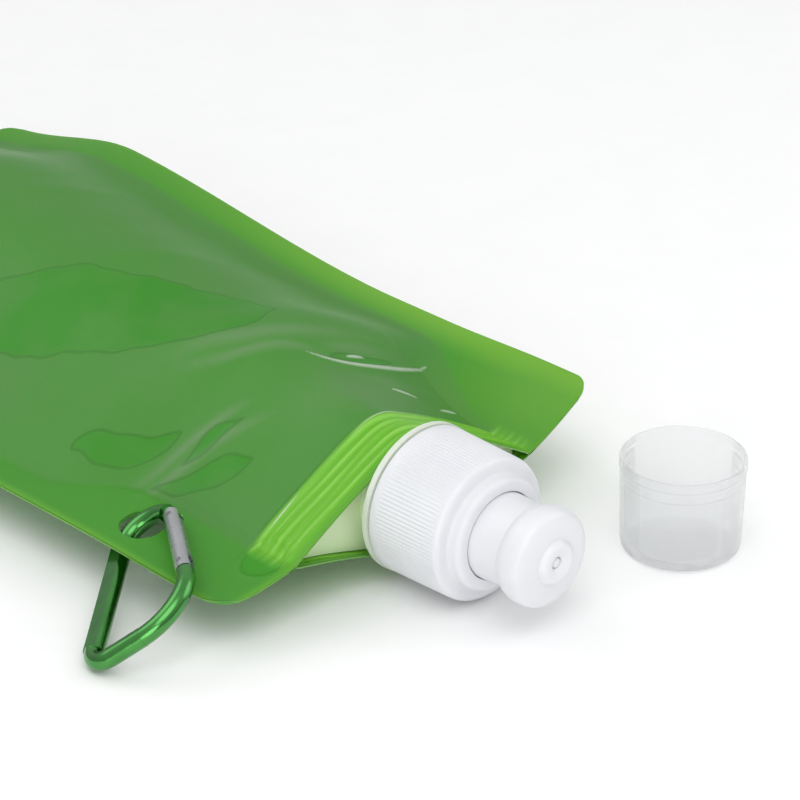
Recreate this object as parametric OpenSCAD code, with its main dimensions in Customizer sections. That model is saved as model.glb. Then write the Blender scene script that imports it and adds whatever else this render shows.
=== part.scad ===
// Folding water bottle: a welded film pouch with a screw-on push-pull cap,
// a loose dust cover and a snap-gate carabiner through a hole in its side seam.
// The bottle lies on its back film, spout towards -Y, table at z = 0.

/* [Pouch] */
// Flat width of the pouch over both side seams
pouch_w = 120; // [110:1:130]
// Length of the pouch from its top edge to its bottom edge
pouch_len = 221.5; // [200:0.5:240]
// Thickness of each film
film_t = 0.4; // [0.3:0.05:0.6]
// Width of the welded side seams
seam_w = 8; // [5:1:12]
// Width of the sealed corner panel that carries the carabiner hole
panel_w = 20; // [18:1:22]
// Radius of the carabiner hole
hole_r = 5.5; // [5.5:0.1:5.8]
// How far the gusset is dished into the pouch
gusset_dish = 9; // [6:1:20]

/* [Spout] */
// Height of the spout's axis above the table
axis_z = 18.4; // [18.4:0.1:20]
// Outer radius of the neck tube
neck_r = 14.5; // [14.3:0.1:14.6]
// Inner radius of the neck tube
neck_bore_r = 12.8; // [12.6:0.1:13]
// Half length of the welded boat, from the axis to a tip
boat_half_len = 38; // [34:1:42]
// Radius of the flange behind the cap
flange_r = 18.3; // [17:0.1:18.3]
// Rise of the cap thread for one turn
pitch = 3.5; // [3.5:0.1:4]

/* [Cap] */
// Outer radius of the cap's skirt at its lower edge
skirt_r = 18; // [17.8:0.1:18.1]
// Radius of the collar that the dust cover seats on
collar_r = 13.4; // [13:0.1:13.6]
// Outer radius of the nozzle's stem
stem_r = 10.5; // [10.3:0.1:10.6]
// Largest radius of the nozzle's head
head_r = 11.9; // [11.5:0.1:12.3]

/* [Dust cover] */
// Height of the dust cover
cover_h = 23.6; // [23:0.1:26]
// Outer radius of the dust cover's rim
cover_rim_r = 15; // [14.9:0.1:15.4]
// Where the loose dust cover stands, along x
cover_x = 50.9; // [45:0.1:60]
// Where the loose dust cover stands, along y
cover_y = -133.7; // [-150:0.1:-125]

/* [Carabiner] */
// Diameter of the carabiner's rod
rod_d = 4.4; // [4:0.1:4.5]
// Length of the straight spine
spine_len = 33.5; // [32:0.5:35]
// Radius of the bend beside the gate's hinge
top_bend_r = 7.55; // [7:0.05:8]
// Length of the gate from its hinge to the nose
gate_len = 22.8; // [20:0.1:24]
// Slant of the gate away from the spine, degrees
gate_slant = 20.6; // [15:0.1:24]

/* [Hidden] */
$fn = 64;

// ---- pouch layout, along y ----
spout_y = -100;                       // lower edge of the cap's skirt
top_y = spout_y + 3.5;                // top edge of the films
base_y = top_y + pouch_len;           // bottom edge of the films
boat_front_y = spout_y + 7;
boat_back_y = spout_y + 17;
fold_y = 20;                          // fold line across the pouch
fold_gap = 0.15;                      // half of the clearance at the fold line
half_w = pouch_w / 2;
corner_r_left = 9;
corner_r_right = 5;
corner_r_base = 7;
weld_rim = 4;                         // flat strip at the bottom edges
boat_gap = 0.25;                      // film stands this far off the boat

// ---- seam and bulge heights ----
left_seam_z = 13;
right_seam_z = 25;
right_seam_rise = 10;                 // how far the right seam climbs towards y = 85
base_drop = 9;                        // how far it comes down again to the base
tip_drop = 4;                         // how far the boat's tips droop
crest_h = 20.5;                       // front film above the seam surface
crest_dip = 3;                        // how much flatter the crest is at the base
belly_h = 30;                         // back film below the seam surface, before the table

// ---- carabiner ----
rod_r = rod_d / 2;
hole_x = -49.7;
hole_y = -57.1;
spine_foot = [-81.5, -76.8, 2.35];    // lower end of the spine's centre line
ring_tilt = [15.7, -32.1, -60.6];     // how the ring lies: x across, y along the spine
spine_r = rod_r + 0.25;               // the spine is pressed flatter and wider than the rod
spine_t = 3.5;
corner_bend_r = 4.5;
sweep_end = -75;                      // where the long sweep ends, degrees
tongue_t = 1.6;
slot_w = 2;
pin_r = 0.7;
pin_clear = 0.05;
top_centre = [top_bend_r, spine_len];
gate_dir = [sin(gate_slant), -cos(gate_slant)];
hinge_pt = top_centre + top_bend_r * [cos(gate_slant), sin(gate_slant)];
nose_pt = hinge_pt + (gate_len + 0.2) * gate_dir;
// the long sweep is an arc and a straight that join the nose to the corner bend
arc_dx = cos(gate_slant) - cos(sweep_end);
arc_dy = sin(gate_slant) - sin(sweep_end);
run_dx = sin(sweep_end);
run_dy = -cos(sweep_end);
gap_x = nose_pt[0] - corner_bend_r - corner_bend_r * cos(sweep_end);
gap_y = nose_pt[1] - corner_bend_r * sin(sweep_end);
det = -arc_dx * run_dy + arc_dy * run_dx;
sweep_r = (-gap_x * run_dy + gap_y * run_dx) / det;
sweep_run = (gap_y - sweep_r * arc_dy) / -run_dy;
sweep_centre = nose_pt - sweep_r * [cos(gate_slant), sin(gate_slant)];

// ---- helpers ----
function ramp(a, b, v) = let (t = max(0, min(1, (v - a) / (b - a)))) t * t * (3 - 2 * t);
function mix(a, b, t) = a + (b - a) * t;
function round_in(r, d) = d < r ? r - sqrt(r * r - (r - d) * (r - d)) : 0;

// Half width of the pouch at y, with the rounded corners of the side given by sign s.
function half_w_at(y, s) = half_w
    - round_in(s < 0 ? corner_r_left : corner_r_right, y - top_y)
    - round_in(corner_r_base, base_y - y);

// Film columns keep their x over the spout and close up only near the corners.
core_x = 42;
function col_x(x, y) = abs(x) <= core_x ? x
    : sign(x) * mix(core_x, half_w_at(y, sign(x)), (abs(x) - core_x) / (half_w - core_x));

// Half height of the boat at x: flanks tangent to the neck, running out to two tips.
boat_slope = asin(neck_r / boat_half_len);
function boat_half(x) = let (a = abs(x))
    a < neck_r * sin(boat_slope) ? sqrt(neck_r * neck_r - a * a)
    : max(0, (boat_half_len - a) * tan(boat_slope));

// Height of the surface in which both films meet.
function seam_z_spout(x) = axis_z - tip_drop * pow(min(abs(x), boat_half_len) / boat_half_len, 2)
    + (x > boat_half_len ? 11.5 * pow((x - boat_half_len) / (half_w - boat_half_len), 1.2) : 0)
    - (x < -boat_half_len ? 2.2 * sin(90 * (-x - boat_half_len) / (half_w - boat_half_len)) : 0);
function seam_z_body(x, y) = mix(left_seam_z,
    right_seam_z + right_seam_rise * ramp(-30, 85, y) - base_drop * ramp(70, base_y, y),
    (x + half_w) / pouch_w);
function seam_z(x, y) = mix(seam_z_spout(x), seam_z_body(x, y), ramp(boat_back_y, -48, y));

// The films part inside the seams: reach of the reservoir on each side at y.
function inner_left(y) = -mix(half_w - panel_w, half_w - seam_w, ramp(-48, -22, y));
function inner_right(y) = mix(half_w - panel_w, half_w - seam_w, ramp(-80, -45, y));
function swell(x, y) = let (l = inner_left(y), r = inner_right(y), v = (2 * x - l - r) / (r - l))
    max(0, 1 - v * v);
function edge_y(y) = min(y, base_y - weld_rim);
function over_boat(x) = boat_half(x) > 0 ? boat_half(x) + boat_gap : 0;
function front_rise(x, y) = mix(over_boat(x),
    (crest_h - crest_dip * ramp(60, base_y, y)) * swell(x, y), ramp(boat_back_y, -35, y));
function back_fall(x, y) = mix(over_boat(x), belly_h * swell(x, y), ramp(boat_back_y, -35, y));
function front_in(x, y) = let (e = edge_y(y)) seam_z(x, e) + front_rise(x, e);
function back_in(x, y) = let (e = edge_y(y)) max(film_t, seam_z(x, e) - back_fall(x, e));

// Closed solid between two grids of points with the same number of rows and columns.
module slab(lower, upper) {
    rows = len(lower);
    cols = len(lower[0]);
    count = rows * cols;
    points = concat([for (row = lower) each row], [for (row = upper) each row]);
    function id(i, j, k) = k * count + i * cols + j;
    faces = concat(
        [for (i = [0:rows - 2], j = [0:cols - 2], t = [0, 1])
            t == 0 ? [id(i, j, 1), id(i + 1, j, 1), id(i + 1, j + 1, 1)]
                   : [id(i, j, 1), id(i + 1, j + 1, 1), id(i, j + 1, 1)]],
        [for (i = [0:rows - 2], j = [0:cols - 2], t = [0, 1])
            t == 0 ? [id(i, j, 0), id(i + 1, j + 1, 0), id(i + 1, j, 0)]
                   : [id(i, j, 0), id(i, j + 1, 0), id(i + 1, j + 1, 0)]],
        [for (j = [0:cols - 2], e = [0, 1], t = [0, 1])
            let (i = e * (rows - 1), p = id(i, j, 0), q = id(i, j, 1), r = id(i, j + 1, 1),
                 s = id(i, j + 1, 0))
            e == 0 ? (t == 0 ? [p, q, r] : [p, r, s]) : (t == 0 ? [r, q, p] : [s, r, p])],
        [for (i = [0:rows - 2], e = [0, 1], t = [0, 1])
            let (j = e * (cols - 1), p = id(i, j, 0), q = id(i, j, 1), r = id(i + 1, j, 1),
                 s = id(i + 1, j, 0))
            e == 0 ? (t == 0 ? [s, r, q] : [s, q, p]) : (t == 0 ? [p, q, r] : [p, r, s])]);
    polyhedron(points, faces, convexity = 6);
}

film_cols = [for (k = [-15:15]) k * half_w / 15];
spout_rows = [top_y, top_y + 0.7, top_y + 2, top_y + 3.5, top_y + 5.5, top_y + 9, boat_back_y,
              -78, -72, -64, -55, -45, -35, -25, -15, -5, 5, 13, fold_y - fold_gap];
base_rows = [fold_y + fold_gap, 30, 42, 55, 68, 80, 92, 102, 111, 117, base_y - weld_rim,
             base_y - 1.5, base_y];

module front_film(rows) slab(
    [for (y = rows) [for (c = film_cols) let (x = col_x(c, y)) [x, y, front_in(x, y)]]],
    [for (y = rows) [for (c = film_cols) let (x = col_x(c, y)) [x, y, front_in(x, y) + film_t]]]);
module back_film(rows) slab(
    [for (y = rows) [for (c = film_cols) let (x = col_x(c, y)) [x, y, back_in(x, y) - film_t]]],
    [for (y = rows) [for (c = film_cols) let (x = col_x(c, y)) [x, y, back_in(x, y)]]]);
module carabiner_hole() translate([hole_x, hole_y, 0]) cylinder(h = 30, r = hole_r);

module front_film_spout_half() color("limegreen", 0.7) difference() {
    front_film(spout_rows);
    carabiner_hole();
}
module front_film_base_half() color("limegreen", 0.7) front_film(base_rows);
module back_film_spout_half() color("forestgreen", 0.7) difference() {
    back_film(spout_rows);
    carabiner_hole();
}
module back_film_base_half() color("forestgreen", 0.7) back_film(base_rows);

// Gusset: a film across the open bottom, dished into the pouch.
gusset_cols = [for (k = [-14:14]) k * 0.955 / 14];
gusset_rows = [for (k = [0:10]) mix(0.015, 0.985, k / 10)];
function gusset_pt(v, w, dy) = let (
    y0 = base_y - 2,
    l = inner_left(y0), r = inner_right(y0),
    x = (l + r) / 2 + v * (r - l) / 2,
    dish = gusset_dish * (1 - v * v) * 4 * w * (1 - w))
    [x, y0 - dish + dy, mix(back_in(x, y0), front_in(x, y0), w)];
module bottom_gusset() color("yellowgreen", 0.7) slab(
    [for (w = gusset_rows) [for (v = gusset_cols) gusset_pt(v, w, film_t)]],
    [for (w = gusset_rows) [for (v = gusset_cols) gusset_pt(v, w, 0)]]);

// ---- spout and cap, drawn with the spout's axis along +Z and the skirt's edge at 0 ----
module on_spout() translate([0, spout_y, axis_z]) rotate([90, 0, 0]) children();

// Helical ridge with a tapered section; sunk into its wall so that the two join.
module thread(root_r, crest_r, start, turns) {
    steps = 24;
    rings = steps * turns;
    root_w = 2;
    crest_w = 1;
    function ring(k) = let (a = 360 * k / steps, z = start + pitch * k / steps)
        [[root_r * cos(a), root_r * sin(a), z - root_w / 2],
         [crest_r * cos(a), crest_r * sin(a), z - crest_w / 2],
         [crest_r * cos(a), crest_r * sin(a), z + crest_w / 2],
         [root_r * cos(a), root_r * sin(a), z + root_w / 2]];
    points = [for (k = [0:rings]) each ring(k)];
    outward = crest_r > root_r;
    sides = [for (k = [0:rings - 1], j = [0:3], t = [0, 1])
        let (a = 4 * k + j, b = 4 * k + (j + 1) % 4, c = a + 4, d = b + 4)
        t == 0 ? [a, b, d] : [a, d, c]];
    ends = [[3, 2, 1, 0], [for (j = [0:3]) 4 * rings + j]];
    faces = concat(sides, ends);
    polyhedron(points, !outward ? [for (f = faces) [for (i = [len(f) - 1:-1:0]) f[i]]] : faces,
               convexity = 8);
}

boat_xs = [for (x = film_cols) if (abs(x) < boat_half_len) x];
module boat_outline() polygon(concat(
    [for (x = boat_xs) [x, seam_z_spout(x) - axis_z + boat_half(x)]],
    [for (k = [len(boat_xs) - 1:-1:0]) let (x = boat_xs[k])
        [x, seam_z_spout(x) - axis_z - boat_half(x)]]));

neck_top = 16.5;
module spout_fitment() color("honeydew", 0.8) on_spout() {
    difference() {
        union() {
            translate([0, 0, spout_y - boat_back_y])
                linear_extrude(boat_back_y - boat_front_y) boat_outline();
            translate([0, 0, spout_y - boat_front_y - 1])
                cylinder(h = neck_top + 8, r = neck_r - 0.05);
            translate([0, 0, -2.6]) cylinder(h = 1.4, r = flange_r);
            thread(neck_r - 0.4, neck_r + 1.25, 7, 1);
        }
        translate([0, 0, -18]) cylinder(h = neck_top + 19, r = neck_bore_r);
    }
}

// Cap: skirt, top, collar, and an inner well whose post carries the nozzle.
skirt_top = 19.7;
deck = 20.6;
skirt_in_r = 16.2;
well_r = 11.2;
well_floor = 16.5;
post_r = 6.5;
post_top = 36.5;
module cap() color("white") on_spout() {
    difference() {
        union() {
            rotate_extrude() polygon([
                [skirt_in_r, 0], [skirt_r - 0.3, 0], [skirt_r, 0.3], [skirt_r, 1.2],
                [skirt_r - 0.4, skirt_top], [skirt_r - 0.8, skirt_top + 0.7],
                [skirt_r - 1.6, deck], [collar_r, deck + 0.2], [collar_r, 22.9],
                [collar_r - 0.7, 23.65], [stem_r + 0.2, 23.65], [stem_r + 0.2, 22.6],
                [well_r, 22.6], [well_r, well_floor], [post_r, well_floor], [post_r, post_top],
                [3, 38.2], [1.3, 38.6], [1.3, 40.7], [0.9, 41.1], [0, 41.1], [0, 36.3],
                [2.6, 36.3], [5, 34.8], [5, well_floor - 1.2], [well_r + 1.1, well_floor - 1.2],
                [well_r + 1.1, 17.6], [skirt_in_r, 17.6]]);
            thread(skirt_in_r + 0.3, skirt_in_r - 1.2, 5.4, 1);
        }
        for (a = [0:120:240])
            rotate([0, 0, a]) translate([4.1, 0, 34]) cylinder(h = 6, r = 0.9, $fn = 32);
    }
}
module cap_liner() color("gainsboro") on_spout() translate([0, 0, 16.6])
    difference() {
        cylinder(h = 0.9, r = 15.9);
        translate([0, 0, -1]) cylinder(h = 3, r = well_r + 1.3);
    }

module push_pull_nozzle() color("whitesmoke") on_spout() rotate_extrude() polygon([
    [9.1, 16.8], [well_r - 0.15, 16.8], [well_r - 0.15, 18], [stem_r, 18.6], [stem_r, 24],
    [stem_r - 0.3, 28.5], [stem_r, 32.8], [head_r - 0.6, 33.5], [head_r, 34.8], [head_r, 38],
    [head_r - 0.4, 39.2], [head_r - 1.3, 39.9], [9, 40.3], [5.1, 40.6], [4.9, 41.4], [4.3, 42],
    [1.9, 42], [1.35, 41], [1.35, 39.3], [post_r + 0.1, 38.4], [post_r + 0.1, 24], [7.8, 24],
    [7.8, 37.4], [9.1, 36.6]]);

// Dust cover: a thin cup with two shallow steps inside its rim, standing mouth up.
module dust_cover() color("lightcyan", 0.5) translate([cover_x, cover_y, 0]) rotate_extrude() polygon([
    [0, 0], [cover_rim_r - 1.9, 0], [cover_rim_r - 1.1, 0.4], [cover_rim_r - 0.7, 1.4],
    [cover_rim_r - 0.2, cover_h - 3], [cover_rim_r, cover_h - 2.6], [cover_rim_r, cover_h],
    [cover_rim_r - 0.85, cover_h], [cover_rim_r - 0.85, cover_h - 2.8],
    [cover_rim_r - 1.06, cover_h - 2.8], [cover_rim_r - 1.06, cover_h - 5.6],
    [cover_rim_r - 1.25, cover_h - 5.8], [cover_rim_r - 1.7, 2], [cover_rim_r - 2.7, 1], [0, 1]]);

// ---- carabiner, drawn flat: x across from spine to gate, y along the spine ----
module on_ring() translate(spine_foot) rotate(ring_tilt) children();
module bend(centre, r, from, to) translate([centre[0], centre[1], 0]) rotate([0, 0, from])
    rotate_extrude(angle = to - from) translate([r, 0]) circle(r = rod_r);
module on_gate() translate([hinge_pt[0], hinge_pt[1], 0]) rotate([0, 0, gate_slant - 90]) children();
latch_at = gate_len - 2.7;

module carabiner_frame() color("green") on_ring() {
    // flattened spine, running a little way into both bends
    intersection() {
        translate([0, -0.3, 0]) rotate([-90, 0, 0]) cylinder(h = spine_len + 0.6, r = spine_r);
        translate([-4, -1, -spine_t / 2]) cube([8, spine_len + 2, spine_t]);
    }
    bend(top_centre, top_bend_r, 54, 180);
    bend([corner_bend_r, 0], corner_bend_r, 180, 360 + sweep_end);
    bend(sweep_centre, sweep_r, sweep_end, gate_slant);
    translate([corner_bend_r + corner_bend_r * cos(sweep_end), corner_bend_r * sin(sweep_end), 0])
        rotate([0, 0, sweep_end + 90]) translate([-0.3, 0, 0]) rotate([0, 90, 0])
        cylinder(h = sweep_run + 0.6, r = rod_r + 0.06);
    // hinge tongue
    difference() {
        union() {
            translate([top_centre[0], top_centre[1], 0]) rotate([0, 0, gate_slant])
                rotate_extrude(angle = 37)
                translate([top_bend_r - 1.6, -tongue_t / 2]) square([3.2, tongue_t]);
            translate([hinge_pt[0], hinge_pt[1], -tongue_t / 2]) cylinder(h = tongue_t, r = 1.9);
        }
        translate([hinge_pt[0], hinge_pt[1], -3]) cylinder(h = 6, r = pin_r + pin_clear);
    }
    // nose tongue with the notch that catches the latch pin
    on_gate() difference() {
        translate([latch_at - 1.7, -1.4, -tongue_t / 2])
            cube([gate_len + 3.1 - latch_at, 2.8, tongue_t]);
        translate([latch_at, 0, -3]) cylinder(h = 6, r = pin_r + 0.25);
        translate([latch_at - pin_r - 0.25, -3, -3]) cube([2 * pin_r + 0.5, 3, 6]);
    }
}

module carabiner_gate() color("silver") on_ring() on_gate() difference() {
    intersection() {
        translate([-3, 0, 0]) rotate([0, 90, 0]) cylinder(h = gate_len + 2.8, r = rod_r);
        union() {
            translate([0, 0, -3]) cylinder(h = 6, r = 2.3);
            translate([0, -3, -3]) cube([gate_len, 6, 6]);
        }
    }
    translate([-3, -3, -slot_w / 2]) cube([5.6, 6, slot_w]);
    translate([latch_at - 2.2, -3, -slot_w / 2]) cube([8, 6, slot_w]);
    translate([2, 0, 0]) rotate([0, 90, 0]) cylinder(h = 11, r = 1.15);
    translate([0, 0, -3]) cylinder(h = 6, r = pin_r);
    translate([latch_at, 0, -3]) cylinder(h = 6, r = pin_r);
}
module gate_hinge_rivet() color("dimgray") on_ring() on_gate() {
    translate([0, 0, -rod_r]) cylinder(h = rod_d, r = pin_r);
}
module gate_latch_pin() color("dimgray") on_ring() on_gate() {
    translate([latch_at, 0, -rod_r + 0.2]) cylinder(h = rod_d - 0.4, r = pin_r);
}

// Coil spring and pusher inside the gate's bore.
coil_r = 0.8;
wire_r = 0.17;
spring_start = 6;
spring_len = 6.6;
module gate_spring() {
    steps = 12;
    sides = 6;
    rings = 7 * steps;
    function ring(k) = let (a = 360 * k / steps) [for (j = [0:sides - 1])
        let (b = 360 * j / sides, r = coil_r + wire_r * cos(b))
        [spring_start + spring_len * k / rings + wire_r * sin(b), r * cos(a), r * sin(a)]];
    points = [for (k = [0:rings]) each ring(k)];
    walls = [for (k = [0:rings - 1], j = [0:sides - 1], t = [0, 1])
        let (a = sides * k + j, b = sides * k + (j + 1) % sides, c = a + sides, d = b + sides)
        t == 0 ? [a, b, d] : [a, d, c]];
    ends = [[for (j = [sides - 1:-1:0]) j], [for (j = [0:sides - 1]) sides * rings + j]];
    color("gray") on_ring() on_gate() polyhedron(points, concat(walls, ends), convexity = 10);
}
module gate_plunger() color("lightgray") on_ring() on_gate() {
    translate([2.35, 0, 0]) rotate([0, 90, 0]) cylinder(h = 3.4, r = 0.95);
}

front_film_spout_half();
front_film_base_half();
back_film_spout_half();
back_film_base_half();
bottom_gusset();
spout_fitment();
cap();
cap_liner();
push_pull_nozzle();
dust_cover();
carabiner_frame();
carabiner_gate();
gate_hinge_rivet();
gate_latch_pin();
gate_spring();
gate_plunger();
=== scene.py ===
"""Looks of the folding water bottle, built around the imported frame. Sizes are in millimetres in the
shape functions, in the row frame, and become metres when a mesh is made."""

import math

import bmesh
import bpy
import numpy as np
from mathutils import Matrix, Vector


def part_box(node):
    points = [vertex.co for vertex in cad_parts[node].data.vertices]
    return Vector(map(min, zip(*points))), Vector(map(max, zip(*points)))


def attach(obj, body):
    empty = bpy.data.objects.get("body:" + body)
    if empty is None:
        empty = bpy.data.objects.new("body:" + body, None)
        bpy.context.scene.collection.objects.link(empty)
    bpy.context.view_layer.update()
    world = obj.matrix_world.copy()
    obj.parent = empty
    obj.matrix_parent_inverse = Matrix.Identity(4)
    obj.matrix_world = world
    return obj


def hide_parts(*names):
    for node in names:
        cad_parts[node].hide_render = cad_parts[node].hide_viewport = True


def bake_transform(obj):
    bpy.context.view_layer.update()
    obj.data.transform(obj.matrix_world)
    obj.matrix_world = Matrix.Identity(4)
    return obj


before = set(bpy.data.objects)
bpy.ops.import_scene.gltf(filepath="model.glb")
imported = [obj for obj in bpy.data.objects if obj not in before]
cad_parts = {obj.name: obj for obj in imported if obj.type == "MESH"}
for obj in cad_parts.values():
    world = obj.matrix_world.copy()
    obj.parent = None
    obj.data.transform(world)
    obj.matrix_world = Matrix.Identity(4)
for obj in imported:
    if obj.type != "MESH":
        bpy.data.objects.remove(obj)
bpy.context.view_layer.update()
MM = 0.001

# ---- the pouch's layout, as in the CAD source ----
HALF_W = 60.0
TOP_Y = -96.5
BASE_Y = 125.0
# last row that keeps its own section: the film runs on level from it to the base
LAST_Y = BASE_Y - 4
SPOUT_Y = -100.0
AXIS_Z = 18.4
FILM_T = 0.4
# the films' own thickness away from the seams
SKIN_T = 0.3

# boat-shaped end of the spout, between the films
BOAT_BACK = -83.0
BOAT_HALF_LEN = 38.0
BOAT_GAP = 0.25
NECK_R = 14.5
TIP_DROP = 4.0

# height of the side seams along the pouch, and of the sealed corners beside the boat
LEFT_SEAM_Z = 13.0
RIGHT_SEAM_Z = 25.0
RIGHT_SEAM_RISE = 10.0
RIGHT_SEAM_FALL = 9.0
RIGHT_CORNER_RISE = 11.5
LEFT_CORNER_DROP = 2.2

# the reservoir: its half width at the spout end and further on, and its swell up and down
RESERVOIR_NECK_X = 40.0
RESERVOIR_X = 52.0
CREST = 20.5
BELLY = 30.0

# film columns inside CORE_X run straight, those outside close up round the corners
CORE_X = 42.0
CORNER_LEFT = 9.0
CORNER_RIGHT = 5.0
CORNER_BASE = 7.0

# the carabiner's hole (x, y, radius), and the oval weld imprint (x, y and its two radii)
HOLE = (-49.7, -57.1, 5.3)
IMPRINT = (-41.0, -89.0, 6.5, 5.5)

# weld ribs over the boat
RIB_PITCH = 2.35
RIB_H = 0.42

# grip ribs round the cap's skirt
GRIP_COUNT = 113
GRIP_H = 0.1


def ramp(a, b, v):
    """0 where v is at a, 1 where it is at b, smooth between; a may be the larger one."""
    t = np.clip((np.asarray(v, float) - a) / (b - a), 0, 1)
    return t * t * (3 - 2 * t)


def mix(a, b, t):
    return a + (b - a) * t


def round_in(r, d):
    """How far a corner of radius r cuts in at distance d from the edge."""
    return np.where(d < r, r - np.sqrt(np.maximum(r * r - (r - d) ** 2, 0)), 0)


def film_x(c, y):
    """x of film column c at y: the columns close up near the rounded corners."""
    corner = np.where(c < 0, CORNER_LEFT, CORNER_RIGHT)
    half = HALF_W - round_in(corner, y - TOP_Y) - round_in(CORNER_BASE, BASE_Y - y)
    outer = CORE_X + (half - CORE_X) * (np.abs(c) - CORE_X) / (HALF_W - CORE_X)
    return np.where(np.abs(c) <= CORE_X, c, np.sign(c) * outer)


def boat_half(x):
    """Half the boat's thickness: a crown round the neck, and straight flanks down to the tips."""
    a, slope = np.abs(x), math.asin(NECK_R / BOAT_HALF_LEN)
    crown = np.sqrt(np.maximum(NECK_R**2 - a * a, 0))
    flank = np.maximum(0, (BOAT_HALF_LEN - a) * math.tan(slope))
    return np.where(a < NECK_R * math.sin(slope), crown, flank)


def seam_z(x, y):
    """Height of the surface in which the two films are welded together."""
    reach = HALF_W - BOAT_HALF_LEN
    right = np.maximum(x - BOAT_HALF_LEN, 0) / reach
    left = np.maximum(-x - BOAT_HALF_LEN, 0) / reach
    spout = AXIS_Z - TIP_DROP * (np.minimum(np.abs(x), BOAT_HALF_LEN) / BOAT_HALF_LEN) ** 2
    spout = spout + RIGHT_CORNER_RISE * right**1.2 - LEFT_CORNER_DROP * np.sin(math.pi / 2 * left)
    side = RIGHT_SEAM_Z + RIGHT_SEAM_RISE * ramp(-30, 85, y) - RIGHT_SEAM_FALL * ramp(70, BASE_Y, y)
    body = mix(LEFT_SEAM_Z, side, (x + HALF_W) / (2 * HALF_W))
    return mix(spout, body, ramp(BOAT_BACK, -48, y))


def inner_left(y):
    return -mix(RESERVOIR_NECK_X, RESERVOIR_X, ramp(-48, -22, y))


def inner_right(y):
    return mix(RESERVOIR_NECK_X, RESERVOIR_X, ramp(-80, -45, y))


def swell(x, y):
    """1 along the reservoir's middle, 0 at its seams."""
    low, high = inner_left(y), inner_right(y)
    v = (2 * x - low - high) / (high - low)
    return np.maximum(0, 1 - v * v)


def over_boat(x):
    """How far the films stand off the seam surface over the boat."""
    return np.where(boat_half(x) > 0, boat_half(x) + BOAT_GAP, 0)


def front_in(x, y):
    """Inner surface of the front film."""
    e = np.minimum(y, LAST_Y)
    crest = (CREST - 3 * ramp(60, BASE_Y, e)) * swell(x, e) ** 1.5
    return seam_z(x, e) + mix(over_boat(x), crest, ramp(BOAT_BACK, -35, e))


def back_in(x, y):
    """Inner surface of the back film, which lies on the table where it would sink below it."""
    e = np.minimum(y, LAST_Y)
    fall = mix(over_boat(x), BELLY * swell(x, e), ramp(BOAT_BACK, -35, e))
    return np.maximum(FILM_T, seam_z(x, e) - fall)


# ---- marks of the front film ----
# A curve is given by its first and last point and up to two between, which pull it towards them.
# sharp creases, whose tops catch the light: a painted glint runs along each
SHARP = [
    [(6, -53.5), (11, -66), (41, -59)],
    [(15.5, -57.3), (21, -57.7)],
    [(19.5, -68.6), (26.3, -70.9)],
    [(30, -74.8), (36.5, -73.8)],
]
# painted highlights along thin edges of the weld over the boat
FINE = [
    [(-8, -83.3), (19, -82.9)],
    [(-35.5, -83.8), (-24, -83.4)],
]
# the long fold that runs from the middle of the film down to its right seam
FOLD = [(-14, -30), (-6, -31), (3, -46.5), (28, -52)]
# curve, half width, height
CREASES = [
    (SHARP[0], 1.0, 0.7),
    (SHARP[1], 0.8, 0.35),
    (FOLD, 2.2, 0.4),
    ([(-12, -42), (0, -41.5), (14, -54)], 1.6, 0.35),
    (SHARP[2], 0.9, 0.4),
    (SHARP[3], 0.8, 0.3),
    ([(-40, -44), (-22.5, -49), (-13, -57)], 1.5, 0.25),
    ([(-42, -48), (-30, -50.5), (-15, -59)], 1.5, 0.25),
    ([(36, -16), (29, -21)], 0.8, -0.35),
    ([(-50, 30), (-5, 18), (30, -2)], 4.0, 0.4),
    ([(-45, 70), (-15, 56), (20, 55), (45, 40)], 5.0, 0.5),
    ([(-40, 105), (-5, 91.5), (30, 104)], 4.5, 0.4),
]
# centre, half width and length, height
DIMPLES = [
    (-22, -70, 9, 6, -0.8),
    (30, -66, 8, 5, -0.7),
    (22, -57, 7, 2.5, -0.6),
    (-30, -52, 8, 2.5, -0.3),
    (-8, 60, 22, 12, 0.8),
    (18, 15, 20, 9, 0.5),
    (-18, -12, 16, 7, -0.5),
    (6, -84, 9, 1.4, 0.4),
]
# patches where the front film clings to the back one: leaves between two tips. Each side has how far it
# bulges and how far along it that is, the second side being followed back from the second tip
CLINGS = [
    ((-40, 34), (15, -34.5), (16, 0.3), (16, 0.3)),
    ((-43, -23.5), (-26.5, -44.5), (2.5, 0.25), (5.5, 0.45)),
    ((-38.5, -48), (-23, -66), (2.5, 0.65), (4.5, 0.45)),
    ((-31.5, -50), (-16.5, -56.5), (2.2, 0.55), (1.3, 0.5)),
    ((10.5, -57.5), (29, -59.5), (1.9, 0.4), (1.9, 0.55)),
]
# streaks of loose film lying a little off the one below, painted paler as a sheen of reflected light: curve,
# half width, strength
STREAKS = [
    (FOLD, 2.6, 0.8),
    ([(-16, -33), (-9, -42), (6, -46), (9, -56)], 1.6, 0.8),
    ([(-41, -43.5), (-23, -49.5), (-14, -54)], 1.3, 0.9),
    ([(-43, -47.5), (-29, -50.5), (-12, -62)], 1.4, 0.9),
    ([(11, -53.5), (20, -54), (32, -57)], 2.2, 0.6),
    ([(-20, 96), (16, 89), (34, 74)], 3.0, 0.6),
    ([(8, -62), (18, -68), (34, -66)], 2.2, 0.5),
    ([(-14, -64), (5, -73.5), (34, -68)], 8.0, 0.4),
]


def curve(points, steps=12):
    """The smooth line that a list of two to four points stands for."""
    t = np.linspace(0, 1, steps + 1)[:, None]
    last = len(points) - 1
    weights = [math.comb(last, k) * (1 - t) ** (last - k) * t**k for k in range(last + 1)]
    return sum(weight * np.array(point, float) for weight, point in zip(weights, points))


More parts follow.
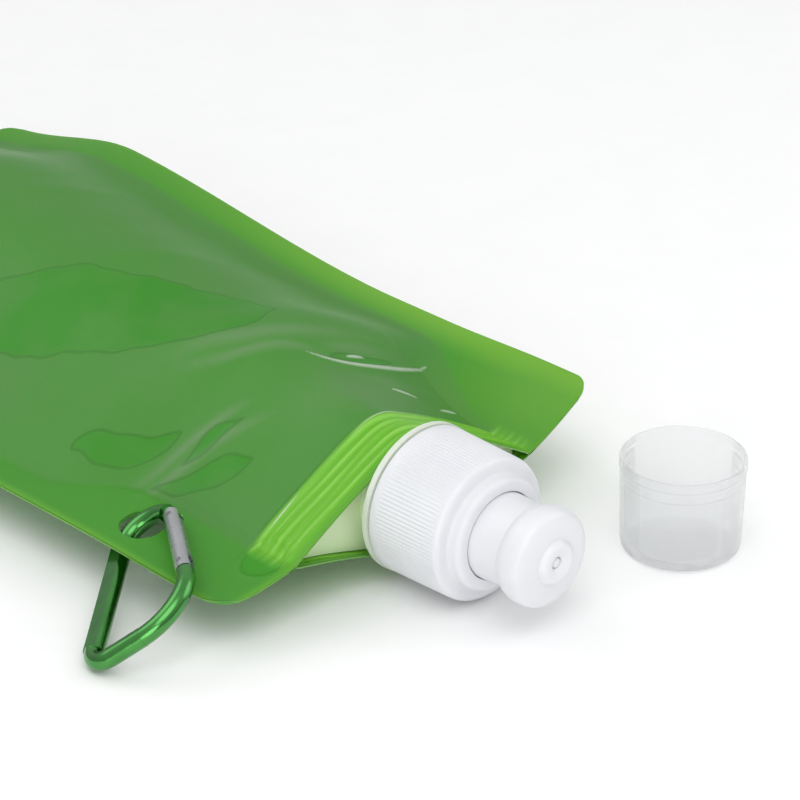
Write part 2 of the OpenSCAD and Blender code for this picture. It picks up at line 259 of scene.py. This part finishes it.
def bulging(start, end, bulge, peak, steps=24):
    """A line from start up to end, which stands out to its left most at `peak` of the way."""
    start, along = np.array(start, float), np.subtract(end, start)
    left = np.array([-along[1], along[0]]) / np.hypot(*along)
    t = np.linspace(0, 1, steps, endpoint=False)[:, None]
    return start + along * t + left * bulge * np.sin(math.pi * t ** (math.log(0.5) / math.log(peak)))


def to_line(x, y, points):
    """Distance from (x, y) to a line through points, and how far along it that is, from 0 to 1."""
    best, along = np.full(np.shape(x), 1e9), np.zeros(np.shape(x))
    count = len(points) - 1
    for k in range(count):
        (ax, ay), (bx, by) = points[k], points[k + 1]
        dx, dy = bx - ax, by - ay
        t = np.clip(((x - ax) * dx + (y - ay) * dy) / (dx * dx + dy * dy), 0, 1)
        d = np.hypot(x - ax - t * dx, y - ay - t * dy)
        along = np.where(d < best, (k + t) / count, along)
        best = np.minimum(best, d)
    return best, along


def creases(x, y):
    z = np.zeros(np.shape(x))
    for points, half, height in CREASES:
        d, t = to_line(x, y, curve(points))
        z = z + height * np.exp(-((d / half) ** 2)) * np.sin(math.pi * np.clip(t, 0.02, 0.98)) ** 0.6
    for cx, cy, rx, ry, height in DIMPLES:
        z = z + height * np.exp(-(((x - cx) / rx) ** 2) - ((y - cy) / ry) ** 2)
    return z


def inside_by(x, y, loop):
    """How far inside a closed loop a point is: negative outside it."""
    closed = np.concatenate([loop, loop[:1]])
    d, _ = to_line(x, y, closed)
    within = np.zeros(np.shape(x), bool)
    for (ax, ay), (bx, by) in zip(closed[:-1], closed[1:]):
        if ay != by:
            crossing = ((ay > y) != (by > y)) & (x < (bx - ax) * (y - ay) / (by - ay) + ax)
            within = within ^ crossing
    return np.where(within, d, -d)


def imprint_ring(x, y):
    """0 in the middle of the oval imprint, 1 on its ring."""
    cx, cy, rx, ry = IMPRINT
    return np.hypot((x - cx) / rx, (y - cy) / ry)


def cling(x, y):
    """How far inside the nearest clinging patch, held between -4 and 4: the patches' edges waver."""
    wx = x + 0.5 * np.sin(y / 3.1) + 0.3 * np.sin(y / 1.3)
    wy = y + 0.5 * np.sin(x / 2.7)
    best = 6 * (0.94 - imprint_ring(wx, wy))
    for start, end, one_side, other_side in CLINGS:
        loop = np.concatenate([bulging(start, end, *one_side), bulging(end, start, *other_side)])
        best = np.maximum(best, inside_by(wx, wy, loop))
    return np.clip(best, -4, 4)


def streak_sheen(x, y):
    """Strength of the painted sheen along the pale streaks: each fades sideways and towards its ends."""
    z = np.zeros(np.shape(x))
    for points, half, strength in STREAKS:
        d, t = to_line(x, y, curve(points))
        ends = np.sin(math.pi * np.clip(t, 0.05, 0.95)) ** 0.7
        z = np.maximum(z, strength * np.exp(-((d / half) ** 2)) * ends)
    return z


def glint_distance(x, y):
    """Distance to the nearest line of painted glint, on the sharp creases and the weld's edges, growing
    towards the ends of each so that they taper.
    """
    best = np.full(np.shape(x), 6.0)
    for lines, narrow, taper in ((SHARP, 1.0, 0.5), (FINE, 2.6, 0.7)):
        for points in lines:
            d, t = to_line(x, y, curve(points))
            best = np.minimum(best, narrow * d + taper * (1 - np.sqrt(np.maximum(np.sin(math.pi * t), 0))))
    return best


def rim_glow(x, y):
    """1 along the right edge and in its corner, and half along every cut edge: painted light standing for the
    light that comes into the film from the side.
    """
    edge = np.minimum(HALF_W - np.abs(x), y - TOP_Y)
    right = ramp(12, 0, HALF_W - x) * mix(1.0, 0.25, ramp(-50, 70, y))
    corner = 0.55 * ramp(32, 6, HALF_W - x) * ramp(-52, -88, y)
    return np.maximum(np.maximum(right, corner), 0.5 * ramp(2.5, 0, edge))


def slack(x, y):
    """Slow uneven swells of loose film."""
    slow = 0.28 * np.sin(x / 9.1 + 0.7 * np.sin(y / 13.0)) * np.sin(y / 17.0 + 1.3)
    middle = 0.14 * np.sin(x / 4.7 - y / 7.9 + np.sin(y / 11.0))
    return slow + middle + 0.1 * np.sin(y / 5.3 + x / 12.0)


def weld(x, y):
    """1 on the welded seams and on the sealed corner, 0 over the reservoir."""
    left = ramp(0.8, -0.8, x - inner_left(y))
    right = ramp(-0.8, 0.8, x - inner_right(y))
    return np.maximum(np.maximum(left, right), ramp(-0.8, 0.8, y - (BASE_Y - 8)))


def boat_zone(x, y):
    """1 where the film is welded round the boat."""
    reach = np.clip((BOAT_HALF_LEN + 4 - np.abs(x)) / 4, 0, 1)
    edge = mix(0.3, 1, ramp(TOP_Y + 0.4, TOP_Y + 2.6, y))
    return ramp(BOAT_BACK + 1.2, BOAT_BACK - 0.6, y) * reach * edge


def rib_lines(x, y):
    """1 on the pressed lines of the weld over the boat, which run a little unevenly along it."""
    drift = 0.5 * np.sin(x / 11.0 + 1.0) + 0.25 * np.sin(x / 4.3)
    wave = 0.5 + 0.5 * np.cos(2 * math.pi * (y - BOAT_BACK + 1.2 + drift) / RIB_PITCH)
    return wave * (0.65 + 0.35 * np.sin(x / 6.1 + y * 1.7)) * ramp(TOP_Y + 1.6, TOP_Y + 3.2, y)


def ribs(x, y):
    """Weld ribs along the film over the boat, and the raised ridge over its back edge."""
    wave = 0.5 + 0.5 * np.cos(2 * math.pi * (y - BOAT_BACK + 1.2) / RIB_PITCH)
    band = ramp(TOP_Y + 0.6, TOP_Y + 1.6, y)
    reach = np.clip((BOAT_HALF_LEN + 1 - np.abs(x)) / 4, 0, 1)
    ridge = 0.6 * np.exp(-(((y - BOAT_BACK) / 0.9) ** 2)) * reach
    return RIB_H * wave**1.5 * boat_zone(x, y) * band + ridge


def front_relief(x, y):
    """What stands up from the front film's smooth swell, and the groove along the inside of its seams."""
    free = 1 - np.maximum(weld(x, y), boat_zone(x, y))
    ring = imprint_ring(x, y)
    imprint = 0.3 * np.exp(-(((ring - 1) / 0.13) ** 2)) - 0.25 * ramp(1.1, 0.7, ring)
    from_seams = [(x - inner(y)) / 0.9 for inner in (inner_right, inner_left)]
    groove = sum(0.12 * np.exp(-(d**2)) for d in from_seams)
    return creases(x, y) * mix(0.3, 1, free) + slack(x, y) * free + ribs(x, y) + imprint - groove


def back_relief(x, y):
    free = (1 - np.maximum(weld(x, y), boat_zone(x, y))) * ramp(0.5, 3, back_in(x, y))
    return 0.8 * slack(x + 7, y + 5) * free - ribs(x, y)


# ---- meshes ----
def make_object(name, points, faces):
    """A smooth-shaded mesh object from points in millimetres."""
    mesh = bpy.data.meshes.new(name)
    mesh.from_pydata((np.asarray(points) * MM).tolist(), [], faces)
    mesh.validate()
    mesh.update()
    obj = bpy.data.objects.new(name, mesh)
    bpy.context.scene.collection.objects.link(obj)
    mesh.polygons.foreach_set("use_smooth", [True] * len(mesh.polygons))
    return obj


def put_attribute(obj, name, values):
    values = np.asarray(values, np.float32)
    kind, field = ("FLOAT_VECTOR", "vector") if values.ndim == 2 else ("FLOAT", "value")
    attribute = obj.data.attributes.new(name, kind, "POINT")
    attribute.data.foreach_set(field, values.ravel())


def film_grid():
    """The films' grid of points: its rows lie closest over the boat, where the weld ribs are."""
    cols = np.linspace(-HALF_W, HALF_W, 181)
    rows = np.concatenate([np.arange(TOP_Y, -79, 0.33), np.arange(-79, -40, 0.6),
                           np.arange(-40, LAST_Y, 1.15), np.linspace(LAST_Y, BASE_Y, 5)])
    c, y = np.meshgrid(cols, rows)
    return film_x(c, y), y


def film(name, lower, upper, hole):
    """A closed thin film between two heights, with the carabiner's hole cut and its rim made round."""
    x, y = film_grid()
    rows, cols = x.shape
    hx, hy, hr = hole
    cx = (x[:-1, :-1] + x[1:, 1:]) / 2
    cy = (y[:-1, :-1] + y[1:, 1:]) / 2
    kept = np.hypot(cx - hx, cy - hy) > hr
    ids = np.arange(rows * cols).reshape(rows, cols)
    quads = np.stack([ids[:-1, :-1], ids[:-1, 1:], ids[1:, 1:], ids[1:, :-1]], -1)
    cut = quads[~kept].ravel()
    quads = quads[kept]
    rim = np.intersect1d(cut, quads.ravel())
    x, y = x.ravel().copy(), y.ravel().copy()
    away = np.hypot(x[rim] - hx, y[rim] - hy)
    x[rim], y[rim] = hx + (x[rim] - hx) * hr / away, hy + (y[rim] - hy) * hr / away
    low, high = lower(x, y), upper(x, y)
    used = np.unique(quads)
    index = np.full(rows * cols, -1)
    index[used] = np.arange(len(used))
    quads = index[quads]
    x, y, low, high = x[used], y[used], low[used], high[used]
    n = len(used)
    edges = np.concatenate([quads[:, [k, (k + 1) % 4]] for k in range(4)])
    key = np.sort(edges, 1)
    key = key[:, 0] * n + key[:, 1]
    _, first, count = np.unique(key, return_index=True, return_counts=True)
    border = edges[first[count == 1]]
    walls = np.stack([border[:, 1], border[:, 0], border[:, 0] + n, border[:, 1] + n], -1)
    faces = np.concatenate([quads + n, quads[:, ::-1], walls]).tolist()
    points = np.concatenate([np.stack([x, y, low], -1), np.stack([x, y, high], -1)])
    obj = make_object(name, points, faces)
    both_x, both_y = np.concatenate([x, x]), np.concatenate([y, y])
    put_attribute(obj, "flat", np.stack([both_x, both_y, both_x * 0], -1))
    # the rim glow, streak and white glint fields hold painted light for the film's colour
    fields = {"weld": weld, "boat": boat_zone, "glow": rim_glow, "cling": cling, "streak_sheen": streak_sheen,
              "white": glint_distance, "rib": rib_lines}
    for field, value_at in fields.items():
        put_attribute(obj, field, value_at(both_x, both_y))
    return obj


def edge_thin(x, y):
    """The film's thickness outwards from the seam's middle: it thins to its cut edge."""
    edge = np.minimum(HALF_W - np.abs(x), y - TOP_Y)
    return FILM_T * mix(0.4, 1, ramp(0, 1.6, edge))


def make_front_film():
    def upper(x, y):
        return front_in(x, y) + edge_thin(x, y) + front_relief(x, y)

    def lower(x, y):
        return np.minimum(mix(upper(x, y) - SKIN_T, front_in(x, y), weld(x, y)), upper(x, y) - 0.1)
    return film("front_film", lower, upper, HOLE)


def make_back_film():
    def lower(x, y):
        return np.maximum(back_in(x, y) - edge_thin(x, y) + back_relief(x, y), 0)

    def upper(x, y):
        return np.maximum(mix(lower(x, y) + SKIN_T, back_in(x, y), weld(x, y)), lower(x, y) + 0.1)
    return film("back_film", lower, upper, HOLE)


def make_gusset():
    """The film across the open bottom, dished into the pouch, with a soft fold across it."""
    y0 = BASE_Y - 2
    low, high = float(inner_left(y0)), float(inner_right(y0))
    v, w = np.meshgrid(np.linspace(-0.96, 0.96, 141), np.linspace(0.02, 0.98, 33))
    x = (low + high) / 2 + v * (high - low) / 2
    dish = 9 * (1 - v * v) * 4 * w * (1 - w)
    fold = 0.5 * np.exp(-(((w - 0.5) / 0.05) ** 2)) * (1 - v * v) + 0.25 * np.sin(v * 9) * 4 * w * (1 - w)
    z = mix(back_in(x, y0 + 0 * x) + 0.3, front_in(x, y0 + 0 * x) - 0.1, w)
    rows, cols = x.shape
    n = rows * cols
    ids = np.arange(n).reshape(rows, cols)
    quads = np.stack([ids[:-1, :-1], ids[:-1, 1:], ids[1:, 1:], ids[1:, :-1]], -1).reshape(-1, 4)
    ring = np.concatenate([ids[0, :], ids[1:, -1], ids[-1, -2::-1], ids[-2:0:-1, 0]])
    after = np.roll(ring, -1)
    walls = np.stack([after, ring, ring + n, after + n], -1)
    outer = np.stack([x, y0 - dish - fold + SKIN_T, z], -1).reshape(-1, 3)
    inner = np.stack([x, y0 - dish - fold, z], -1).reshape(-1, 3)
    obj = make_object("bottom_gusset_film", np.concatenate([outer, inner]),
                      np.concatenate([quads[:, ::-1], quads + n, walls[:, ::-1]]).tolist())
    flat = np.stack([x, y0 - 20 * w, x * 0], -1).reshape(-1, 3)
    put_attribute(obj, "flat", np.concatenate([flat, flat]))
    for field in ("weld", "boat", "glow", "rib"):
        put_attribute(obj, field, np.zeros(2 * n))
    return obj


def soften(corners, steps=5):
    """A closed profile whose corners are rounded: corners are (r, s) or (r, s, radius)."""
    out = []
    count = len(corners)
    for k, corner in enumerate(corners):
        here = np.array(corner[:2], float)
        before = np.array(corners[k - 1][:2], float)
        after = np.array(corners[(k + 1) % count][:2], float)
        radius = corner[2] if len(corner) > 2 else 0.15
        a, b = np.linalg.norm(before - here), np.linalg.norm(after - here)
        if radius <= 0 or here[0] <= 0:
            out.append(here)
            continue
        p = here + (before - here) / a * min(radius, a * 0.45)
        q = here + (after - here) / b * min(radius, b * 0.45)
        for t in np.linspace(0, 1, steps):
            out.append((1 - t) ** 2 * p + 2 * t * (1 - t) * here + t * t * q)
    return np.array(out)


def revolve(name, profile, place, segments=128, ripple=None):
    """A closed profile of (r, s) turned about an axis. place maps (across, up, s) to the row frame."""
    angles = np.arange(segments) * 2 * math.pi / segments
    r, s = profile[:, 0], profile[:, 1]
    count = len(r)
    rr = np.repeat(r[None, :], segments, 0)
    if ripple is not None:
        rr = rr + ripple(rr, s[None, :], angles[:, None])
    across, up = rr * np.cos(angles)[:, None], rr * np.sin(angles)[:, None]
    points = place(across, up, np.repeat(s[None, :], segments, 0)).reshape(-1, 3)
    i, j = np.meshgrid(np.arange(segments), np.arange(count), indexing="ij")
    i2, j2 = (i + 1) % segments, (j + 1) % count
    ids = np.arange(segments * count).reshape(segments, count)
    for k in np.where(r <= 0)[0]:
        ids[:, k] = ids[0, k]
    quads = np.stack([ids[i, j], ids[i2, j], ids[i2, j2], ids[i, j2]], -1).reshape(-1, 4)
    faces = []
    for quad in quads.tolist():
        face = list(dict.fromkeys(quad))
        if len(face) > 2:
            faces.append(face)
    used = sorted({v for face in faces for v in face})
    index = {v: k for k, v in enumerate(used)}
    return make_object(name, points[used], [[index[v] for v in face] for face in faces])


def on_spout(a, b, s):
    return np.stack([a, SPOUT_Y - s, AXIS_Z + b], -1)


def turned_right(obj):
    """Makes every face point outwards."""
    work = bmesh.new()
    work.from_mesh(obj.data)
    bmesh.ops.recalc_face_normals(work, faces=work.faces)
    work.to_mesh(obj.data)
    work.free()
    obj.data.polygons.foreach_set("use_smooth", [True] * len(obj.data.polygons))
    return obj


def sharpen(obj, degrees=40):
    """Keeps hard edges hard under smooth shading."""
    obj.data.set_sharp_from_angle(angle=math.radians(degrees))
    return obj


def make_cap():
    """Ribbed skirt, shoulder and collar, with the well and the nozzle's post inside."""
    def grip(r, s, angle):
        on = (r > 17.2) * ramp(1.3, 2.0, s) * ramp(19.4, 18.6, s)
        wave = np.abs(np.sin(GRIP_COUNT * angle / 2))
        return on * GRIP_H * (2 * wave - 1.2)
    skirt = [(18 - 0.4 * t, 1.9 + 16.9 * t, 0) for t in np.linspace(0, 1, 8)]
    corners = [(16.2, -0.9, 0.4), (17.75, -0.9, 0.4), (18.15, -0.5, 0.35), (18.1, 1.2, 0.25), *skirt,
               (17.4, 19.6, 1.1), (16.6, 20.3, 0.8), (14.3, 20.4, 0.4), (13.9, 20.9, 0.4),
               (13.75, 22.8, 0.6), (13.1, 23.5, 0.5), (12.2, 23.65, 0.3), (10.7, 23.65, 0.3),
               (10.7, 22.6), (11.2, 22.6), (11.2, 16.5), (6.5, 16.5), (6.5, 36.5, 0.3), (3, 38.2, 0.3),
               (1.3, 38.6), (1.3, 40.7, 0.3), (0.9, 41.1, 0.3), (0, 41.1), (0, 36.3), (2.6, 36.3),
               (5, 34.8), (5, 15.3), (12.3, 15.3), (12.3, 17.6), (16.2, 17.6)]
    return revolve("ribbed_cap", soften(corners), on_spout, GRIP_COUNT * 6, grip)


def make_nozzle():
    """Waisted stem and flared head, whose face has a raised ring and a hole."""
    corners = [(9.1, 16.8), (11.05, 16.8), (11.05, 18), (10.5, 18.6), (10.5, 24, 1), (10.15, 28.5, 4),
               (10.4, 32.2, 0.8), (10.95, 32.9, 0.3), (11.15, 33.15, 0.2), (11.35, 33.25, 0.15),
               (11.85, 34.6, 0.8), (11.95, 36.4, 1), (11.85, 38.0, 1), (11.3, 39.3, 0.9),
               (10.2, 40.0, 0.9), (8.6, 40.35, 0.9), (6.2, 40.5, 0.6), (5.25, 40.45, 0.35),
               (5.0, 41.4, 0.5), (4.3, 41.95, 0.5), (3.0, 41.9, 0.5), (2.0, 41.5, 0.4), (1.4, 40.9, 0.3),
               (1.4, 39.3), (6.6, 38.4), (6.6, 24), (7.8, 24), (7.8, 37.4), (9.1, 36.6)]
    return revolve("nozzle_moulding", soften(corners), on_spout, 160)


def make_dust_cover():
    """The cup, open side up, where the CAD's cover stands."""
    low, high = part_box("dust_cover")
    cx, cy = (low.x + high.x) / 2 / MM, (low.y + high.y) / 2 / MM

    def place(a, b, s):
        return np.stack([cx + a, cy + b, s], -1)
    corners = [(0, 0.25), (9, 0.2, 1), (12.6, 0, 0.6), (13.5, 0.15, 0.5), (14.1, 0.7, 0.6), (14.3, 2, 0.8),
               (14.8, 20.6, 0.3), (15, 21, 0.25), (15, 23.3, 0.3), (14.75, 23.6, 0.25),
               (14.3, 23.6, 0.25), (14.15, 23.2, 0.2), (14.15, 20.9, 0.15), (13.9, 20.75, 0.15),
               (13.9, 18.1, 0.15), (13.65, 17.9, 0.15), (13.25, 2.4, 0.8), (12.6, 1.4, 0.7),
               (11.5, 1.05, 0.6), (1.5, 1.0, 0.2), (1.1, 1.3, 0.2), (0, 1.32)]
    return revolve("clear_dust_cover", soften(corners), place, 256)


# ---- materials ----
class Shader:
    """A material with one Principled shader, and short calls that add nodes to it."""

    def __init__(self, name, **fixed):
        self.material = bpy.data.materials.new(name)
        self.material.use_nodes = True
        self.tree = self.material.node_tree
        self.shader = self.tree.nodes["Principled BSDF"]
        for key, value in fixed.items():
            self.shader.inputs[key.replace("_", " ")].default_value = value

    def add(self, kind, inputs=(), **settings):
        made = self.tree.nodes.new("ShaderNode" + kind)
        for key, value in settings.items():
            setattr(made, key, value)
        for key, value in dict(inputs).items():
            if isinstance(value, bpy.types.NodeSocket):
                self.tree.links.new(value, made.inputs[key])
            else:
                made.inputs[key].default_value = value
        return made

    def math(self, operation, a, b=0.0, clamp=False):
        return self.add("Math", {0: a, 1: b}, operation=operation, use_clamp=clamp).outputs[0]

    def blend(self, factor, a, b):
        return self.add("Mix", {0: factor, 6: a, 7: b}, data_type="RGBA").outputs[2]

    def ramp(self, value, low, high, to_low=0.0, to_high=1.0):
        made = self.add("MapRange", {0: value, 1: low, 2: high, 3: to_low, 4: to_high},
                        interpolation_type="SMOOTHSTEP")
        return made.outputs[0]

    def attribute(self, name, vector=False):
        made = self.add("Attribute", attribute_name=name)
        return made.outputs["Vector" if vector else "Fac"]

    def place(self):
        return self.add("TexCoord").outputs["Object"]

    def noise(self, where, scale, detail=3.0, roughness=0.5):
        inputs = {"Vector": where, "Scale": scale, "Detail": detail, "Roughness": roughness}
        return self.add("TexNoise", inputs).outputs[0]

    def bump(self, height, distance):
        return self.add("Bump", {"Height": height, "Distance": distance, "Strength": 1.0}).outputs[0]

    def set(self, **links):
        for key, value in links.items():
            self.tree.links.new(value, self.shader.inputs[key.replace("_", " ")])
        return self.material


def srgb(r, g, b):
    """An 8-bit display colour as a linear one."""
    def linear(v):
        v = v / 255
        return v / 12.92 if v <= 0.04045 else ((v + 0.055) / 1.055) ** 2.4
    return (linear(r), linear(g), linear(b), 1.0)


# colours of the films' marks, blended over the films' own; the streak, rim and glint colours are painted
# light
# painted sheen: reflected light laid on the pale streaks
PAINTED_SHEEN_TINT = (118, 152, 106)
CLING_TINT = (48, 144, 16)
OUTLINE_TINT = (34, 108, 14)
SEAM_TINT = (66, 160, 28)
# painted light along the film's rim and its corner by the spout
PAINTED_RIM_LIGHT = (118, 184, 52)
BOAT_TINT = (104, 184, 34)
RIB_TINT = (150, 218, 88)
# painted glints on the sharp creases and the weld's edges
GLINT_TINT = (214, 224, 208)


def film_material(name, body, loose, marked=False):
    """Satin film: mottled green, with painted light along the rim, where light comes in from the side. A
    marked film is deeper green where it clings to the one below, and has pale streaks of painted sheen and
    painted glints."""
    made = Shader(name, IOR=1.46, Transmission_Weight=0.18, Coat_Weight=0.05, Coat_Roughness=0.2,
                  Specular_IOR_Level=0.2)
    flat = made.attribute("flat", True)
    mottle = made.noise(flat, 0.03, 3.0, 0.5)
    height = made.noise(flat, 0.6, 4.0, 0.6)
    rough = made.ramp(mottle, 0.3, 0.75, 0.4, 0.5)
    colour = made.blend(made.ramp(mottle, 0.35, 0.7), srgb(*body), srgb(*loose))
    if marked:
        reach = made.attribute("cling")
        inside = made.ramp(reach, -0.3, 0.9)
        outline = made.math("MULTIPLY", made.ramp(reach, -0.55, -0.05), made.ramp(reach, 0.6, 0.05))
        pale = made.attribute("streak_sheen")
        # painted sheen along the pale streaks of loose film
        colour = made.blend(made.math("MULTIPLY", pale, 0.75), colour, srgb(*PAINTED_SHEEN_TINT))
        uneven = made.ramp(made.noise(flat, 0.05, 2.0), 0.35, 0.65, 0.35, 0.85)
        colour = made.blend(made.math("MULTIPLY", inside, uneven), colour, srgb(*CLING_TINT))
        colour = made.blend(made.math("MULTIPLY", outline, 0.35), colour, srgb(*OUTLINE_TINT))
        rough = made.math("SUBTRACT", rough, made.math("MULTIPLY", inside, 0.06))
        height = made.math("ADD", height, made.math("MULTIPLY", outline, 1.5))
    colour = made.blend(made.math("MULTIPLY", made.attribute("weld"), 0.5), colour, srgb(*SEAM_TINT))
    # painted light along the right edge, its corner and the cut edges
    colour = made.blend(made.attribute("glow"), colour, srgb(*PAINTED_RIM_LIGHT))
    boat = made.attribute("boat")
    welded = made.blend(made.attribute("rib"), srgb(*BOAT_TINT), srgb(*RIB_TINT))
    colour = made.blend(boat, colour, welded)
    rough = made.math("SUBTRACT", rough, made.math("MULTIPLY", boat, 0.18), True)
    if marked:
        # painted glints along the sharp creases and the weld's edges
        line = made.ramp(made.attribute("white"), 0.9, 0.25)
        colour = made.blend(made.math("MULTIPLY", line, 0.65), colour, srgb(*GLINT_TINT))
    return made.set(Base_Color=colour, Roughness=rough, Normal=made.bump(height, 0.00006))


def plastic(name, colour, shade, roughness=0.36, grain=2500.0, depth=0.00002, **fixed):
    """Moulded plastic: slow shading, a fine mould texture and slightly uneven gloss."""
    made = Shader(name, **fixed)
    where = made.place()
    cloud = made.noise(where, 60.0, 3.0)
    fine = made.noise(where, grain, 2.0)
    tint = made.blend(made.ramp(cloud, 0.3, 0.7), srgb(*colour), srgb(*shade))
    rough = made.ramp(cloud, 0.25, 0.75, roughness - 0.05, roughness + 0.06)
    return made.set(Base_Color=tint, Roughness=rough, Normal=made.bump(fine, depth))


def fitment_material():
    """Natural polyethylene, with painted green light where the welded film lies round the boat: the light
    that comes through the green film.
    """
    made = Shader("natural_polyethylene", Transmission_Weight=0.12, IOR=1.5)
    where = made.place()
    depth = made.add("SeparateXYZ", {0: where}).outputs["Y"]
    # painted green light, come through the film, on the boat close to it
    film_light_mask = made.ramp(depth, -0.0955, -0.0925)
    cloud = made.noise(where, 90.0, 3.0)
    pale = made.blend(cloud, srgb(222, 232, 214), srgb(230, 237, 224))
    green = made.blend(cloud, srgb(222, 246, 192), srgb(228, 248, 200))
    rough = made.ramp(cloud, 0.3, 0.7, 0.38, 0.5)
    fine = made.noise(where, 2200.0, 2.0)
    tint = made.blend(film_light_mask, pale, green)
    return made.set(Base_Color=tint, Roughness=rough, Normal=made.bump(fine, 0.00002))


def metal(name, colour, shade, rough_low, rough_high, streak=(1, 1, 1), scale=900.0, coat=0.0):
    """Metal with fine scratches: the noise is stretched along one axis for a brushed look."""
    made = Shader(name, Metallic=1.0, Coat_Weight=coat, Coat_Roughness=0.06)
    where = made.add("Mapping", {"Vector": made.place(), "Scale": streak}).outputs[0]
    scratches = made.noise(where, scale, 5.0, 0.65)
    cloud = made.noise(made.place(), 140.0, 2.0)
    tint = made.blend(made.ramp(cloud, 0.3, 0.7), srgb(*colour), srgb(*shade))
    rough = made.ramp(scratches, 0.3, 0.7, rough_low, rough_high)
    return made.set(Base_Color=tint, Roughness=rough, Normal=made.bump(scratches, 0.000012))


def cover_material():
    """Clear frosted polypropylene."""
    made = Shader("clear_polypropylene", Transmission_Weight=0.74, IOR=1.22, Alpha=0.55)
    where = made.place()
    cloud = made.noise(where, 70.0, 3.0)
    fine = made.noise(where, 1500.0, 3.0)
    tint = made.blend(cloud, srgb(238, 239, 241), srgb(243, 244, 245))
    return made.set(Base_Color=tint, Roughness=made.ramp(cloud, 0.3, 0.7, 0.2, 0.26),
                    Normal=made.bump(fine, 0.000003))


def give(obj, material):
    obj.data.materials.clear()
    obj.data.materials.append(material)
    return obj


# ---- the stage ----
CAMERA_AT = Vector((-0.5027, -0.5989, 0.4134))
LOOK_AT = Vector((0.03517, -0.05571, 0.015))


def add_camera():
    data = bpy.data.cameras.new("camera")
    data.lens = 158.26
    data.sensor_width = 36.0
    data.clip_start, data.clip_end = 0.05, 20.0
    camera = bpy.data.objects.new("camera", data)
    camera.location = CAMERA_AT
    camera.rotation_euler = (LOOK_AT - CAMERA_AT).to_track_quat("-Z", "Y").to_euler()
    bpy.context.scene.collection.objects.link(camera)
    bpy.context.scene.camera = camera


def add_area(name, at, size, power, aim=(0.0, -0.05, 0.01)):
    data = bpy.data.lights.new(name, "AREA")
    data.shape, data.size, data.energy = "DISK", size, power
    lamp = bpy.data.objects.new(name, data)
    lamp.location = at
    lamp.rotation_euler = (Vector(aim) - Vector(at)).to_track_quat("-Z", "Y").to_euler()
    bpy.context.scene.collection.objects.link(lamp)


def add_world():
    """A grey horizon that brightens to white overhead."""
    world = bpy.data.worlds.new("studio")
    world.use_nodes = True
    nodes, links = world.node_tree.nodes, world.node_tree.links
    place = nodes.new("ShaderNodeTexCoord")
    split = nodes.new("ShaderNodeSeparateXYZ")
    shade = nodes.new("ShaderNodeValToRGB")
    low, high = shade.color_ramp.elements
    low.position, low.color = 0.0, (0.42, 0.43, 0.44, 1)
    high.position, high.color = 0.8, (1, 1, 1, 1)
    links.new(place.outputs["Generated"], split.inputs[0])
    links.new(split.outputs["Z"], shade.inputs[0])
    links.new(shade.outputs[0], nodes["Background"].inputs[0])
    nodes["Background"].inputs[1].default_value = 0.8
    bpy.context.scene.world = world


def add_floor():
    """A plain sheet just below the table plane, so that nothing lies in it."""
    size = 4.0
    mesh = bpy.data.meshes.new("floor")
    corners = [(-size, -size, 0), (size, -size, 0), (size, size, 0), (-size, size, 0)]
    mesh.from_pydata(corners, [], [(0, 1, 2, 3)])
    floor = bpy.data.objects.new("floor", mesh)
    floor.location.z = -0.0002
    bpy.context.scene.collection.objects.link(floor)
    give(floor, plastic("paper_sweep", (250, 250, 250), (248, 248, 248), 0.7, 400.0, 0.00001))


bpy.context.scene.view_settings.view_transform = "Standard"
add_camera()
add_world()
add_floor()
add_area("key", (-0.4, -0.5, 0.95), 0.9, 3.3)
add_area("fill", (-0.75, -0.6, 0.22), 0.6, 2.2)
add_area("side", (0.65, -0.5, 0.5), 0.6, 1.2)
add_area("back", (-0.3, 0.7, 0.9), 0.9, 2.0)

# ---- the pieces ----
front = make_front_film()
give(front, film_material("front_film_satin", (74, 145, 52), (82, 144, 62), True))
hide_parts("front_film_spout_half", "front_film_base_half")
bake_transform(front)

back = make_back_film()
give(back, film_material("back_film_satin", (72, 148, 46), (82, 150, 54)))
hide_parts("back_film_spout_half", "back_film_base_half")
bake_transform(back)

gusset = turned_right(make_gusset())
give(gusset, film_material("gusset_satin", (74, 148, 48), (84, 150, 56)))
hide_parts("bottom_gusset")
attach(gusset, "pouch_base_end")

cap = sharpen(turned_right(make_cap()), 50)
give(cap, plastic("white_polypropylene", (226, 227, 230), (221, 222, 226), 0.36, IOR=1.49))
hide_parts("cap")
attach(cap, "cap")

nozzle = sharpen(turned_right(make_nozzle()), 50)
give(nozzle, plastic("nozzle_polyethylene", (226, 227, 230), (222, 223, 227), 0.34, IOR=1.5))
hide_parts("push_pull_nozzle")
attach(nozzle, "nozzle")

cover = sharpen(turned_right(make_dust_cover()), 60)
give(cover, cover_material())
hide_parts("dust_cover")
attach(cover, "dust_cover")

NODE_LOOKS = {
    "spout_fitment": (fitment_material(), "natural_plastic"),
    "cap_liner": (plastic("liner_foam", (226, 226, 220), (218, 219, 214), 0.6, 900.0, 0.00008), "liner_foam"),
    "carabiner_frame": (metal("green_anodised", (72, 148, 66), (62, 134, 58), 0.17, 0.25,
                              scale=500.0, coat=0.6), "green_anodised"),
    "carabiner_gate": (metal("satin_aluminium", (196, 197, 200), (184, 186, 190), 0.24, 0.4, (1, 1, 6)),
                       "bare_aluminium"),
    "gate_hinge_rivet": (metal("rivet_steel", (150, 151, 154), (138, 139, 143), 0.28, 0.42), "steel"),
    "gate_latch_pin": (metal("pin_steel", (150, 151, 154), (138, 139, 143), 0.28, 0.42), "steel"),
    "gate_spring": (metal("spring_steel", (130, 131, 134), (118, 119, 123), 0.25, 0.4), "steel"),
    "gate_plunger": (metal("plunger_steel", (140, 141, 144), (128, 129, 133), 0.25, 0.4), "steel"),
}
for node_name, (material, slot_name) in NODE_LOOKS.items():
    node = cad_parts[node_name]
    give(node, material)
